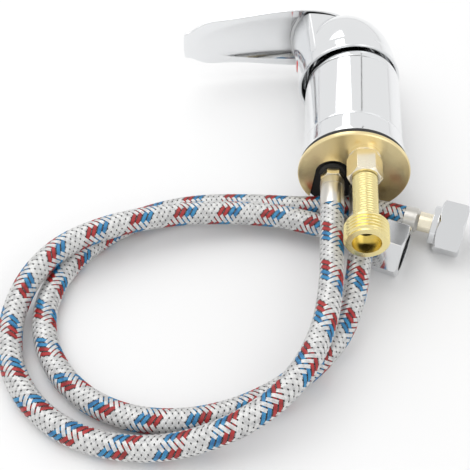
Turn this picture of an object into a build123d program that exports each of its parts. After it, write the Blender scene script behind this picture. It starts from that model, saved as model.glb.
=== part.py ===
"""Single-lever basin mixer with two braided supply hoses, lying on its side.

Millimetres, +Z up.  The tap's axis runs along +Y, with the underside of the
base facing -Y and the lever pointing along -X.
"""

import os
from math import cos, pi, radians, sin, tan

from build123d import *

# Place of the tap: its axis and deck plane, from the middle of its footprint
TAP_X = 32.993
TAP_Y = -22.358

# Clamp stack under the deck plane
PLATE_R = 27.7
PLATE_THICKNESS = 2.0
PLATE_CHAMFER = 0.5
NOTCH_R = 8.4
NOTCH_LEFT_FLARE = 3.0
NOTCH_RIGHT_EDGE = 4.0
HOLE_GAP = 0.6
WASHER_R = 26.8
WASHER_THICKNESS = 3.0

# Body casting, heights from the deck plane
BODY_R = 25.0
BASE_R = 26.2
BASE_HEIGHT = 12.6
BASE_RIM = 2.0
BASE_STEP = 0.3
GROOVE_DEPTH = 0.6
GROOVE_WIDTH = 0.8
BODY_HEIGHT = 56.0
BODY_NECK_R = 22.6
BODY_NECK_HEIGHT = 5.0
CAVITY_FLOOR = 10.0

# Waterway ports in the floor of the body, from the tap's axis
SHANK_PORT = (3.9, 13.1)
HOSE_PORTS = {"left": (-10.6, 0.5), "right": (3.6, -3.1)}
PORT_SPARE = 1.0

# Cartridge, whose ways stand a little nearer the axis than the ports
WAY_R = 2.8
WAYS = [(3.6, 10.8), (-9.4, 0.4), (3.6, -3.1)]
CARTRIDGE_R = 20.0
CARTRIDGE_FIT = 0.1
CARTRIDGE_WALL = 2.4
SHOULDER_DROP = 12.0
CARTRIDGE_NECK_R = 14.6
NECK_DROP = 0.5
BASE_DISC_THICKNESS = 5.5
FIXED_DISC_R = 16.4
FIXED_DISC_THICKNESS = 5.5
MOVING_DISC_R = 11.8
MOVING_DISC_THICKNESS = 4.5
CARRIER_THICKNESS = 6.5
SEAL_HEIGHT = 1.2
SEAL_R = 5.2
SEAL_BORE_R = 3.4
RUNNING_FIT = 0.05
LIFT = 0.1
DRIVER_R = 12.4
DRIVER_FLANGE_R = 16.2
DRIVER_FLANGE = 2.5
DRIVER_FLANGE_GAP = 0.6
DRIVER_SLOT_RIM = 2.0
MIXING_ROOF = 1.5
MIXING_RIM = 3.2
BALL_SEAT_FLOOR = 0.8

# Retaining nut and bonnet over the cartridge
NUT_RING_R = 21.2
NUT_RING_BORE_R = 16.0
NUT_RING_HEIGHT = 8.0
NUT_RING_SLOTS = 6
NUT_RING_SLOT_WIDTH = 4.0
NUT_RING_SLOT_DEPTH = 2.0
BONNET_R = 24.9
BONNET_RISE = 11.0
BONNET_SHOULDER_R = 19.5
BONNET_HOLE_R = 15.8
BONNET_WALL = 1.8
BONNET_BAND = 1.5
BONNET_BEND = (7.0, 1.3)
BONNET_TAPER = 1.0
BONNET_SEAT_GAP = 0.2
BONNET_SEAT_STEP = 0.6

# Lever stem: pivot height above the deck plane, closed angle below square
PIVOT_DROP = 8.0
CLOSED_ANGLE = 7.0
STEM_SQUARE = 8.0
STEM_TOP = 37.0
BALL_RISE = 21.5
STEM_BALL_R = 3.6
STEM_NECK_R = 2.8
STEM_GAP = 0.3
STEM_EYE_R = 5.6
PIN_R = 1.5
PIN_SHORTFALL = 0.8
SOCKET_FIT = 0.1

# Handle, heights above the pivot along the handle's own axis
SKIRT_R = 27.15
SKIRT_WALL = 1.55
SKIRT_RIM = 14.0
DOME_R = 26.8
DOME_START = 20.0
DOME_MID = (20.0, 38.7)
DOME_TOP = 55.0
DOME_WALL = 3.5
NECK_R = 26.6
BOSS_R = 8.0
BOSS_BOTTOM = 19.5

# Lever: its crowned top is part of a ring, which arches along it and across it
ARCH_R = 202.0
CROWN_R = 40.0
ARCH_TOP = (-34.0, 59.8)
LEVER_REACH = 88.0
LEVER_CAP = 6.0
LEVER_ROOT = (-14.0, 18.8)
LEVER_MID = (-46.0, 17.0)
LEVER_BLADE = (-66.0, 14.9)
LEVER_END = (-79.0, 12.4)
LEVER_CORNER = (-85.0, 8.6)
UNDERSIDE_ROOT = (10.0, 50.2)
UNDERSIDE_MID = (-50.0, 54.4)
UNDERSIDE_TIP = (-92.0, 50.2)
LEVER_WALL = 2.4
RECESS_GAP = 1.2
SCREW_HEIGHT = 30.0
SCREW_R = 2.4
SCREW_LENGTH = 7.0
SCREW_SOCKET_AF = 2.5
SCREW_SOCKET_DEPTH = 2.5
SCREW_HOLE_SPARE = 2.0
PLUG_R = 3.7
PLUG_DEPTH = 2.4
PLUG_CROWN = 0.5
PLUG_SHOULDER = 0.2
PLUG_EDGE = 0.3
PLUG_EDGE_WIDTH = 1.0

# Threaded outlet shank and its fixing nut
SHANK_R = 6.0
SHANK_BORE_R = 4.2
SHANK_INSERT = 7.0
SHANK_END = 60.0
OUTLET_R = 10.478
OUTLET_LENGTH = 11.0
OUTLET_BORE_R = 6.8
OUTLET_BORE_DEPTH = 8.0
FIXING_NUT_AF = 15.0
FIXING_NUT_LENGTH = 13.5
FIXING_COLLAR_R = 7.9
FIXING_COLLAR = 2.0
THREAD_FIT = 0.1

# Corners of the hexagons, cut back by a cone at each end
HEX_CUT = 1.2
NIPPLE_HEX_CUT = 0.6
HEX_CORNER_SPARE = 0.1
HEX_FACE_STEP = 0.2

# Hose end fittings
HOSE_R = 5.75
HOSE_BORE_R = 4.0
NIPPLE_THREAD_R = 4.8
NIPPLE_INSERT = 7.0
NIPPLE_HEX_START = 6.2
NIPPLE_HEX_AF = 10.0
NIPPLE_HEX_LENGTH = 4.2
NIPPLE_BORE_R = 2.8
NIPPLE_RING_R = 6.4
NIPPLE_RING_THICKNESS = 1.6
FERRULE_R = 6.0
FERRULE_STEP_R = 5.85
FERRULE_SHOULDER = 1.5
FERRULE_NECK_R = 4.9
TAP_FERRULE_LENGTH = 11.5
UNION_FERRULE_LENGTH = 7.5
UNION_TAIL = 9.5
TAIL_FLANGE_R = 8.9
TAIL_FLANGE = 2.0
UNION_NUT_AF = 24.0
UNION_NUT_LENGTH = 13.0
UNION_NUT_COLLAR_R = 9.6
UNION_NUT_COLLAR = 3.0
UNION_THREAD_R = 9.32
UNION_THREAD_LENGTH = 6.0
UNION_POCKET_R = 9.15
UNION_POCKET_LENGTH = 4.0
FLAT_WASHER_R = 9.0
FLAT_WASHER_THICKNESS = 2.0

# Direction of each union, turned from +X towards -Y, and the end of its nut
UNION_ANGLES = {"left": 20.0, "right": 16.0}
UNION_ENDS = {"left": (25.3, -40.8), "right": (55.0, -26.3)}

AXIS_Z = SKIRT_R
TAP = (TAP_X, TAP_Y, AXIS_Z)
ALONG = (0, 1, 0)
OUTWARD = (0, -1, 0)
UPWARD = (0, 0, 1)
PLATE_FACE = -WASHER_THICKNESS - PLATE_THICKNESS
CARTRIDGE_SHOULDER = BODY_HEIGHT - SHOULDER_DROP
CARTRIDGE_NECK_TOP = BODY_HEIGHT - NECK_DROP
PIVOT_HEIGHT = BODY_HEIGHT - PIVOT_DROP
STEM_TIP = PIVOT_HEIGHT - CAVITY_FLOOR - BALL_RISE
BONNET_TOP = BODY_HEIGHT + BONNET_RISE
PIVOT = (TAP_X, TAP_Y + PIVOT_HEIGHT, AXIS_Z)
TILT = radians(CLOSED_ANGLE)
HANDLE_ALONG = (-sin(TILT), cos(TILT), 0)
HANDLE_ACROSS = (cos(TILT), sin(TILT), 0)
HANDLE_PLANE = Plane(origin=PIVOT, x_dir=HANDLE_ACROSS, z_dir=UPWARD)
UNION_AXIS_Z = UNION_NUT_AF / 2
UNION_REAR = UNION_FERRULE_LENGTH + UNION_TAIL


def stand(origin, direction, reach):
    """Point a given reach from an origin along a direction."""
    return tuple(o + reach * d for o, d in zip(origin, direction))


def profile_plane(origin, direction):
    """Plane whose X runs along a turned piece and whose Y is its radius."""
    return Plane(origin=origin, x_dir=direction, z_dir=UPWARD)


def cross_plane(origin, direction, reach=0.0):
    """Plane square to a turned piece, with its Y axis up."""
    sideways = Vector(*UPWARD).cross(Vector(*direction))
    return Plane(origin=stand(origin, direction, reach), x_dir=sideways, z_dir=direction)


def turned(points, origin, direction, mode=Mode.ADD):
    """Revolve a closed outline of (along, radius) points about an axis."""
    with BuildSketch(profile_plane(origin, direction)) as outline:
        with BuildLine():
            Polyline(*points, close=True)
        make_face()
    revolve(outline.sketch, axis=Axis(origin, direction), mode=mode)


def tube_points(start, end, outer, inner):
    """Outline of a plain sleeve."""
    return [(start, inner), (end, inner), (end, outer), (start, outer)]


def rod_points(start, end, radius):
    """Outline of a plain rod."""
    return [(start, 0), (end, 0), (end, radius), (start, radius)]


def hexagon(across_flats, origin, direction, start, length):
    """Extrude a hexagon with a flat on top along an axis."""
    with BuildSketch(cross_plane(origin, direction, start)) as outline:
        RegularPolygon(across_flats / 2, 6, major_radius=False)
    extrude(outline.sketch, amount=length)


def hex_chamfer_points(start, end, across_flats, cut=HEX_CUT):
    """Outline that rounds off both ends of a hexagon's corners."""
    corner = across_flats / cos(pi / 6) / 2 + HEX_CORNER_SPARE
    flat = across_flats / 2 - HEX_FACE_STEP
    return [
        (start, 0),
        (end, 0),
        (end, flat),
        (end - cut, corner),
        (start + cut, corner),
        (start, flat),
    ]


def save(piece, label):
    """Name a finished piece and write it."""
    piece.part.label = label
    export_step(piece.part, f"parts/{label}.step")


def port_origin(port):
    """Centre of a port on the deck plane."""
    return (TAP_X + port[0], TAP_Y, AXIS_Z + port[1])


def water_ways(start, end):
    """Cut the three water ways through a stretch of the tap."""
    for way in WAYS:
        turned(rod_points(start, end, WAY_R), port_origin(way), ALONG, Mode.SUBTRACT)


os.makedirs("parts", exist_ok=True)

# Body: flared base, waist groove, straight barrel and a neck for the bonnet
cavity_r = CARTRIDGE_R + CARTRIDGE_FIT
nut_seat = CARTRIDGE_SHOULDER
body_top = BODY_HEIGHT + BODY_NECK_HEIGHT
with BuildPart() as body:
    turned(
        [
            (0, 0),
            (body_top, 0),
            (body_top, BODY_NECK_R),
            (BODY_HEIGHT, BODY_NECK_R),
            (BODY_HEIGHT, BODY_R),
            (BASE_HEIGHT + GROOVE_WIDTH, BODY_R),
            (BASE_HEIGHT + GROOVE_WIDTH, BODY_R - GROOVE_DEPTH),
            (BASE_HEIGHT, BODY_R - GROOVE_DEPTH),
            (BASE_HEIGHT, BODY_R + BASE_STEP),
            (BASE_RIM, BASE_R),
            (0, BASE_R),
        ],
        TAP,
        ALONG,
    )
    turned(rod_points(CAVITY_FLOOR, body_top, cavity_r), TAP, ALONG, Mode.SUBTRACT)
    turned(rod_points(nut_seat, body_top, NUT_RING_R + THREAD_FIT), TAP, ALONG, Mode.SUBTRACT)
    for port in HOSE_PORTS.values():
        turned(
            rod_points(0, NIPPLE_INSERT + PORT_SPARE, NIPPLE_THREAD_R + THREAD_FIT),
            port_origin(port),
            ALONG,
            Mode.SUBTRACT,
        )
    turned(
        rod_points(0, SHANK_INSERT + PORT_SPARE, SHANK_R + THREAD_FIT),
        port_origin(SHANK_PORT),
        ALONG,
        Mode.SUBTRACT,
    )
    water_ways(SHANK_INSERT, CAVITY_FLOOR)
save(body, "body")

# Rubber washer under the base, with a hole for each fitting
with BuildPart() as rubber_washer:
    with BuildSketch(cross_plane(TAP, OUTWARD)):
        Circle(WASHER_R)
        with Locations(SHANK_PORT):
            Circle(SHANK_R + HOLE_GAP, mode=Mode.SUBTRACT)
        with Locations(*HOSE_PORTS.values()):
            Circle(NIPPLE_THREAD_R + HOLE_GAP, mode=Mode.SUBTRACT)
    extrude(amount=WASHER_THICKNESS)
save(rubber_washer, "rubber_washer")

# Brass clamp plate: a disc with one wide notch that both hoses pass through
with BuildPart() as clamp_plate:
    with BuildSketch(cross_plane(TAP, OUTWARD, WASHER_THICKNESS)):
        Circle(PLATE_R)
        with Locations(SHANK_PORT):
            Circle(SHANK_R + HOLE_GAP, mode=Mode.SUBTRACT)
        for port in HOSE_PORTS.values():
            with Locations(port):
                Circle(NOTCH_R, mode=Mode.SUBTRACT)
        with BuildLine():
            Polyline(
                (HOSE_PORTS["left"][0] - NOTCH_R, HOSE_PORTS["left"][1]),
                (HOSE_PORTS["left"][0] - NOTCH_R - NOTCH_LEFT_FLARE, -PLATE_R),
                (HOSE_PORTS["right"][0] + NOTCH_RIGHT_EDGE, -PLATE_R),
                (HOSE_PORTS["right"][0] + NOTCH_R, HOSE_PORTS["right"][1]),
                close=True,
            )
        make_face(mode=Mode.SUBTRACT)
    extrude(amount=PLATE_THICKNESS)
    rim = clamp_plate.faces().sort_by(Axis.Y)[0].edges().filter_by(GeomType.CIRCLE)
    chamfer(rim.sort_by(SortBy.RADIUS)[-1], length=PLATE_CHAMFER)
save(clamp_plate, "clamp_plate")

# Outlet shank: threaded rod from the body, ending in a larger male thread
shank_origin = port_origin(SHANK_PORT)
outlet_start = SHANK_END - OUTLET_LENGTH
with BuildPart() as outlet_shank:
    turned(
        [
            (-SHANK_INSERT, SHANK_BORE_R),
            (SHANK_END - OUTLET_BORE_DEPTH, SHANK_BORE_R),
            (SHANK_END - OUTLET_BORE_DEPTH, OUTLET_BORE_R),
            (SHANK_END, OUTLET_BORE_R),
            (SHANK_END, OUTLET_R),
            (outlet_start, OUTLET_R),
            (outlet_start, SHANK_R),
            (-SHANK_INSERT, SHANK_R),
        ],
        shank_origin,
        OUTWARD,
    )
save(outlet_shank, "outlet_shank")

# Long hexagon nut with a round collar that pulls the clamp plate up
nut_start = -PLATE_FACE
nut_end = nut_start + FIXING_COLLAR + FIXING_NUT_LENGTH
with BuildPart() as fixing_nut:
    hexagon(FIXING_NUT_AF, shank_origin, OUTWARD, nut_start + FIXING_COLLAR, FIXING_NUT_LENGTH)
    turned(
        hex_chamfer_points(nut_start + FIXING_COLLAR, nut_end, FIXING_NUT_AF),
        shank_origin,
        OUTWARD,
        Mode.INTERSECT,
    )
    turned(rod_points(nut_start, nut_start + FIXING_COLLAR, FIXING_COLLAR_R), shank_origin, OUTWARD)
    turned(
        rod_points(nut_start, nut_end, SHANK_R + THREAD_FIT),
        shank_origin,
        OUTWARD,
        Mode.SUBTRACT,
    )
save(fixing_nut, "fixing_nut")

# Cartridge base with three water ways and a locating rim
seal_top = CAVITY_FLOOR + SEAL_HEIGHT
base_top = seal_top + BASE_DISC_THICKNESS
fixed_top = base_top + FIXED_DISC_THICKNESS
moving_bottom = fixed_top + LIFT
moving_top = moving_bottom + MOVING_DISC_THICKNESS
carrier_top = moving_top + CARRIER_THICKNESS
flange_bottom = carrier_top + DRIVER_FLANGE_GAP
flange_top = flange_bottom + DRIVER_FLANGE
with BuildPart() as cartridge_base:
    turned(rod_points(seal_top, base_top, CARTRIDGE_R), TAP, ALONG)
    water_ways(seal_top, base_top)
save(cartridge_base, "cartridge_base")

with BuildPart() as cartridge_seals:
    for way in WAYS:
        turned(tube_points(CAVITY_FLOOR, seal_top, SEAL_R, SEAL_BORE_R), port_origin(way), ALONG)
save(cartridge_seals, "cartridge_seals")

with BuildPart() as fixed_disc:
    turned(rod_points(base_top, fixed_top, FIXED_DISC_R), TAP, ALONG)
    water_ways(base_top, fixed_top)
save(fixed_disc, "fixed_disc")

# Moving disc and its carrier stand off the axis while the lever is closed
closed_offset = STEM_TIP * sin(TILT)
disc_origin = stand(TAP, (1, 0, 0), closed_offset)
mixing_depth = MOVING_DISC_THICKNESS - MIXING_ROOF
with BuildPart() as moving_disc:
    turned(rod_points(moving_bottom, moving_top, MOVING_DISC_R), disc_origin, ALONG)
    turned(
        rod_points(moving_bottom, moving_bottom + mixing_depth, MOVING_DISC_R - MIXING_RIM),
        disc_origin,
        ALONG,
        Mode.SUBTRACT,
    )
save(moving_disc, "moving_disc")

ball_socket_r = STEM_BALL_R + STEM_GAP
with BuildPart() as disc_carrier:
    turned(rod_points(moving_top, carrier_top, MOVING_DISC_R), disc_origin, ALONG)
    turned(
        rod_points(moving_top + BALL_SEAT_FLOOR, carrier_top, ball_socket_r),
        disc_origin,
        ALONG,
        Mode.SUBTRACT,
    )
save(disc_carrier, "disc_carrier")

# Driver: turns in the housing's neck and carries the stem on its pin
driver_top = CARTRIDGE_NECK_TOP
slot_width = STEM_SQUARE + STEM_GAP
housing_bore = DRIVER_R + RUNNING_FIT
with BuildPart() as cartridge_driver:
    turned(
        [
            (flange_bottom, 0),
            (driver_top, 0),
            (driver_top, DRIVER_R),
            (flange_top, DRIVER_R),
            (flange_top, DRIVER_FLANGE_R),
            (flange_bottom, DRIVER_FLANGE_R),
        ],
        TAP,
        ALONG,
    )
    with BuildSketch(cross_plane(TAP, ALONG, flange_bottom)):
        Rectangle(2 * (DRIVER_R - DRIVER_SLOT_RIM), slot_width)
    extrude(amount=driver_top - flange_bottom, mode=Mode.SUBTRACT)
    with BuildSketch(Plane(origin=PIVOT, x_dir=(1, 0, 0), z_dir=UPWARD)):
        Circle(PIN_R + RUNNING_FIT)
    extrude(amount=DRIVER_R, both=True, mode=Mode.SUBTRACT)
save(cartridge_driver, "cartridge_driver")

# Housing: a cup over the discs with a narrower neck round the driver
housing_inner = CARTRIDGE_R - CARTRIDGE_WALL
with BuildPart() as cartridge_housing:
    turned(
        [
            (base_top, FIXED_DISC_R + RUNNING_FIT),
            (fixed_top, FIXED_DISC_R + RUNNING_FIT),
            (fixed_top, housing_inner),
            (flange_top + LIFT, housing_inner),
            (flange_top + LIFT, housing_bore),
            (CARTRIDGE_NECK_TOP, housing_bore),
            (CARTRIDGE_NECK_TOP, CARTRIDGE_NECK_R),
            (CARTRIDGE_SHOULDER, CARTRIDGE_NECK_R),
            (CARTRIDGE_SHOULDER, CARTRIDGE_R),
            (base_top, CARTRIDGE_R),
        ],
        TAP,
        ALONG,
    )
save(cartridge_housing, "cartridge_housing")

# Ring nut that holds the cartridge down, with spanner slots
nut_ring_top = CARTRIDGE_SHOULDER + NUT_RING_HEIGHT
with BuildPart() as cartridge_nut:
    turned(
        tube_points(CARTRIDGE_SHOULDER, nut_ring_top, NUT_RING_R, NUT_RING_BORE_R),
        TAP,
        ALONG,
    )
    with BuildSketch(cross_plane(TAP, ALONG, nut_ring_top - NUT_RING_SLOT_DEPTH)):
        with PolarLocations(NUT_RING_BORE_R, NUT_RING_SLOTS):
            Rectangle(NUT_RING_SLOT_WIDTH, NUT_RING_SLOT_WIDTH)
    extrude(amount=NUT_RING_SLOT_DEPTH, mode=Mode.SUBTRACT)
save(cartridge_nut, "cartridge_nut")

# Bonnet: domed cap over the neck, open for the stem
bonnet_bend = (BODY_HEIGHT + BONNET_BEND[0], BONNET_R - BONNET_BEND[1])
band_top = BODY_HEIGHT + BONNET_BAND
seat_top = body_top + BONNET_SEAT_GAP
neck_bore = BODY_NECK_R + THREAD_FIT
with BuildPart() as bonnet:
    with BuildSketch(profile_plane(TAP, ALONG)):
        with BuildLine():
            Line((BODY_HEIGHT, neck_bore), (BODY_HEIGHT, BONNET_R))
            Line((BODY_HEIGHT, BONNET_R), (band_top, BONNET_R))
            ThreePointArc((band_top, BONNET_R), bonnet_bend, (BONNET_TOP, BONNET_SHOULDER_R))
            Polyline(
                (BONNET_TOP, BONNET_SHOULDER_R),
                (BONNET_TOP, BONNET_HOLE_R),
                (BONNET_TOP - BONNET_WALL, BONNET_HOLE_R),
                (BONNET_TOP - BONNET_WALL, BONNET_SHOULDER_R - BONNET_TAPER),
                (seat_top, neck_bore - BONNET_SEAT_STEP),
                (seat_top, neck_bore),
                (BODY_HEIGHT, neck_bore),
            )
        make_face()
    revolve(axis=Axis(TAP, ALONG))
save(bonnet, "bonnet")

# Stem: ball tip in the carrier, eye on the pin and a square for the handle
with BuildPart() as cartridge_stem:
    turned(rod_points(-STEM_TIP, 0, STEM_NECK_R), PIVOT, HANDLE_ALONG)
    with BuildSketch(Plane(origin=PIVOT, x_dir=HANDLE_ACROSS, z_dir=UPWARD)):
        Circle(STEM_EYE_R)
    extrude(amount=STEM_SQUARE / 2, both=True)
    with BuildSketch(cross_plane(PIVOT, HANDLE_ALONG)):
        Rectangle(STEM_SQUARE, STEM_SQUARE)
    extrude(amount=STEM_TOP)
    with Locations(stand(PIVOT, HANDLE_ALONG, -STEM_TIP)):
        Sphere(STEM_BALL_R)
    with BuildSketch(Plane(origin=PIVOT, x_dir=HANDLE_ACROSS, z_dir=UPWARD)):
        Circle(PIN_R + RUNNING_FIT)
    extrude(amount=STEM_SQUARE, both=True, mode=Mode.SUBTRACT)
save(cartridge_stem, "cartridge_stem")

with BuildPart() as stem_pin:
    with BuildSketch(Plane(origin=PIVOT, x_dir=HANDLE_ACROSS, z_dir=UPWARD)):
        Circle(PIN_R)
    extrude(amount=DRIVER_R - PIN_SHORTFALL, both=True)
save(stem_pin, "stem_pin")


def lever_outline(inset):
    """Draw half of the lever's plan, its edge moved inwards, and mirror it."""
    with BuildLine() as edge:
        Spline(
            (LEVER_CAP - inset, 0),
            (LEVER_ROOT[0], LEVER_ROOT[1] - inset),
            (LEVER_MID[0], LEVER_MID[1] - inset),
            (LEVER_BLADE[0], LEVER_BLADE[1] - inset),
            (LEVER_END[0] + inset / 2, LEVER_END[1] - inset),
            (LEVER_CORNER[0] + inset, LEVER_CORNER[1] - inset),
            (-LEVER_REACH + inset, 0),
            tangents=((0, 1), (0, -1)),
        )
        mirror(about=Plane.XZ)
    make_face(edge.edges())


def under_the_crown(depth):
    """Keep what lies inside the ring that crowns the lever, less a depth."""
    with Locations(Plane(origin=arch_centre, z_dir=UPWARD)):
        Torus(ARCH_R - CROWN_R, CROWN_R - depth, mode=Mode.INTERSECT)


plan_origin = stand(PIVOT, HANDLE_ALONG, SKIRT_RIM)
plan_plane = Plane(origin=plan_origin, x_dir=HANDLE_ACROSS, z_dir=HANDLE_ALONG)
plan_height = ARCH_TOP[1] - SKIRT_RIM
arch_centre = HANDLE_PLANE.from_local_coords((ARCH_TOP[0], ARCH_TOP[1] - ARCH_R, 0))

# Hollow under the lever, which leaves a wall all round and a roof
with BuildPart() as lever_hollow:
    with BuildSketch(plan_plane):
        lever_outline(LEVER_WALL)
        Circle(NECK_R + RECESS_GAP, mode=Mode.SUBTRACT)
    extrude(amount=plan_height)
    under_the_crown(LEVER_WALL)

# Lever with its arched underside and crowned top
with BuildPart() as lever:
    with BuildSketch(plan_plane):
        lever_outline(0)
    extrude(amount=plan_height)
    with BuildSketch(HANDLE_PLANE):
        with BuildLine() as side_view:
            ThreePointArc(UNDERSIDE_ROOT, UNDERSIDE_MID, UNDERSIDE_TIP)
            Polyline(
                UNDERSIDE_TIP,
                (UNDERSIDE_TIP[0], ARCH_TOP[1]),
                (UNDERSIDE_ROOT[0], ARCH_TOP[1]),
                UNDERSIDE_ROOT,
            )
        make_face()
    extrude(amount=SKIRT_R, both=True, mode=Mode.INTERSECT)
    under_the_crown(0)

# Neck that carries the lever on the skirt's side
with BuildPart() as lever_neck:
    with BuildSketch(plan_plane):
        lever_outline(0)
        Circle(NECK_R, mode=Mode.INTERSECT)
        with Locations((-NECK_R / 2, 0)):
            Rectangle(NECK_R, 2 * NECK_R, mode=Mode.INTERSECT)
    extrude(amount=plan_height)
    under_the_crown(LEVER_WALL)

# Handle: domed skirt with the lever, a boss with a square socket and a screw hole
skirt_inner = SKIRT_R - SKIRT_WALL
dome_inner = DOME_R - SKIRT_WALL
with BuildPart() as handle:
    with BuildSketch(HANDLE_PLANE):
        with BuildLine():
            Polyline((0, DOME_TOP), (0, SKIRT_RIM), (SKIRT_R, SKIRT_RIM), (DOME_R, DOME_START))
            ThreePointArc((DOME_R, DOME_START), DOME_MID, (0, DOME_TOP))
        make_face()
    revolve(axis=Axis(PIVOT, HANDLE_ALONG))
    add(lever_neck.part)
    add(lever.part)
    with BuildSketch(HANDLE_PLANE):
        with BuildLine():
            Polyline(
                (0, DOME_TOP - DOME_WALL),
                (0, SKIRT_RIM),
                (skirt_inner, SKIRT_RIM),
                (dome_inner, DOME_START),
            )
            ThreePointArc(
                (dome_inner, DOME_START),
                (DOME_MID[0] - SKIRT_WALL, DOME_MID[1] - SKIRT_WALL),
                (0, DOME_TOP - DOME_WALL),
            )
        make_face()
    revolve(axis=Axis(PIVOT, HANDLE_ALONG), mode=Mode.SUBTRACT)
    add(lever_hollow.part, mode=Mode.SUBTRACT)
    turned(rod_points(BOSS_BOTTOM, DOME_TOP - SKIRT_WALL, BOSS_R), PIVOT, HANDLE_ALONG)
    with BuildSketch(cross_plane(PIVOT, HANDLE_ALONG, BOSS_BOTTOM)):
        Rectangle(STEM_SQUARE + 2 * SOCKET_FIT, STEM_SQUARE + 2 * SOCKET_FIT)
    extrude(amount=STEM_TOP - BOSS_BOTTOM + SOCKET_FIT, mode=Mode.SUBTRACT)
    screw_origin = stand(PIVOT, HANDLE_ALONG, SCREW_HEIGHT)
    lever_way = tuple(-v for v in HANDLE_ACROSS)
    hole_start = BOSS_R + SCREW_HOLE_SPARE
    hole_end = NECK_R + SCREW_HOLE_SPARE
    turned(rod_points(0, hole_end, SCREW_R + SOCKET_FIT), screw_origin, lever_way, Mode.SUBTRACT)
    turned(
        rod_points(hole_start, hole_end, PLUG_R + SOCKET_FIT),
        screw_origin,
        lever_way,
        Mode.SUBTRACT,
    )
save(handle, "handle")

# Grub screw that grips the stem, and the coloured plug that covers its hole
screw_start = STEM_SQUARE / 2
screw_end = screw_start + SCREW_LENGTH
with BuildPart() as handle_screw:
    turned(rod_points(screw_start, screw_end, SCREW_R), screw_origin, lever_way)
    with BuildSketch(cross_plane(screw_origin, lever_way, screw_end - SCREW_SOCKET_DEPTH)):
        RegularPolygon(SCREW_SOCKET_AF / 2, 6, major_radius=False)
    extrude(amount=SCREW_SOCKET_DEPTH, mode=Mode.SUBTRACT)
save(handle_screw, "handle_screw")

plug_face = NECK_R
with BuildPart() as index_plug:
    turned(
        [
            (plug_face - PLUG_DEPTH, 0),
            (plug_face + PLUG_CROWN, 0),
            (plug_face + PLUG_SHOULDER, PLUG_R - PLUG_EDGE_WIDTH),
            (plug_face - PLUG_EDGE, PLUG_R),
            (plug_face - PLUG_DEPTH, PLUG_R),
        ],
        screw_origin,
        lever_way,
    )
save(index_plug, "index_plug")


def hose_nipple(side, port):
    """Threaded hexagon nipple that screws into a port and holds the hose."""
    origin = port_origin(port)
    hex_end = NIPPLE_HEX_START + NIPPLE_HEX_LENGTH
    ferrule_end = hex_end + TAP_FERRULE_LENGTH
    with BuildPart() as nipple:
        hexagon(NIPPLE_HEX_AF, origin, OUTWARD, NIPPLE_HEX_START, NIPPLE_HEX_LENGTH)
        turned(
            hex_chamfer_points(NIPPLE_HEX_START, hex_end, NIPPLE_HEX_AF, NIPPLE_HEX_CUT),
            origin,
            OUTWARD,
            Mode.INTERSECT,
        )
        turned(rod_points(-NIPPLE_INSERT, NIPPLE_HEX_START, NIPPLE_THREAD_R), origin, OUTWARD)
        turned(rod_points(hex_end, ferrule_end, HOSE_BORE_R), origin, OUTWARD)
        turned(
            rod_points(-NIPPLE_INSERT, ferrule_end, NIPPLE_BORE_R), origin, OUTWARD, Mode.SUBTRACT
        )
    save(nipple, f"{side}_nipple")
    with BuildPart() as seal_ring:
        turned(
            tube_points(
                NIPPLE_HEX_START - NIPPLE_RING_THICKNESS,
                NIPPLE_HEX_START,
                NIPPLE_RING_R,
                NIPPLE_THREAD_R + RUNNING_FIT,
            ),
            origin,
            OUTWARD,
        )
    save(seal_ring, f"{side}_nipple_ring")
    ferrule(f"{side}_tap_ferrule", origin, OUTWARD, hex_end, ferrule_end)


def ferrule(label, origin, direction, root, mouth):
    """Crimped sleeve with a tapered shoulder at its root and a step half way."""
    way = 1 if mouth > root else -1
    half = (root + mouth) / 2
    with BuildPart() as sleeve:
        turned(
            [
                (root, HOSE_BORE_R + RUNNING_FIT),
                (mouth, HOSE_BORE_R + RUNNING_FIT),
                (mouth, FERRULE_STEP_R),
                (half, FERRULE_STEP_R),
                (half, FERRULE_R),
                (root + way * FERRULE_SHOULDER, FERRULE_R),
                (root, FERRULE_NECK_R),
            ],
            origin,
            direction,
        )
    save(sleeve, label)


def union_frame(side):
    """End of the hose and the direction of the union beyond it."""
    angle = radians(UNION_ANGLES[side])
    direction = (cos(angle), -sin(angle), 0)
    x, y = UNION_ENDS[side]
    end = (TAP_X + x, TAP_Y + y, UNION_AXIS_Z)
    return stand(end, direction, -UNION_REAR - UNION_NUT_LENGTH), direction


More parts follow.
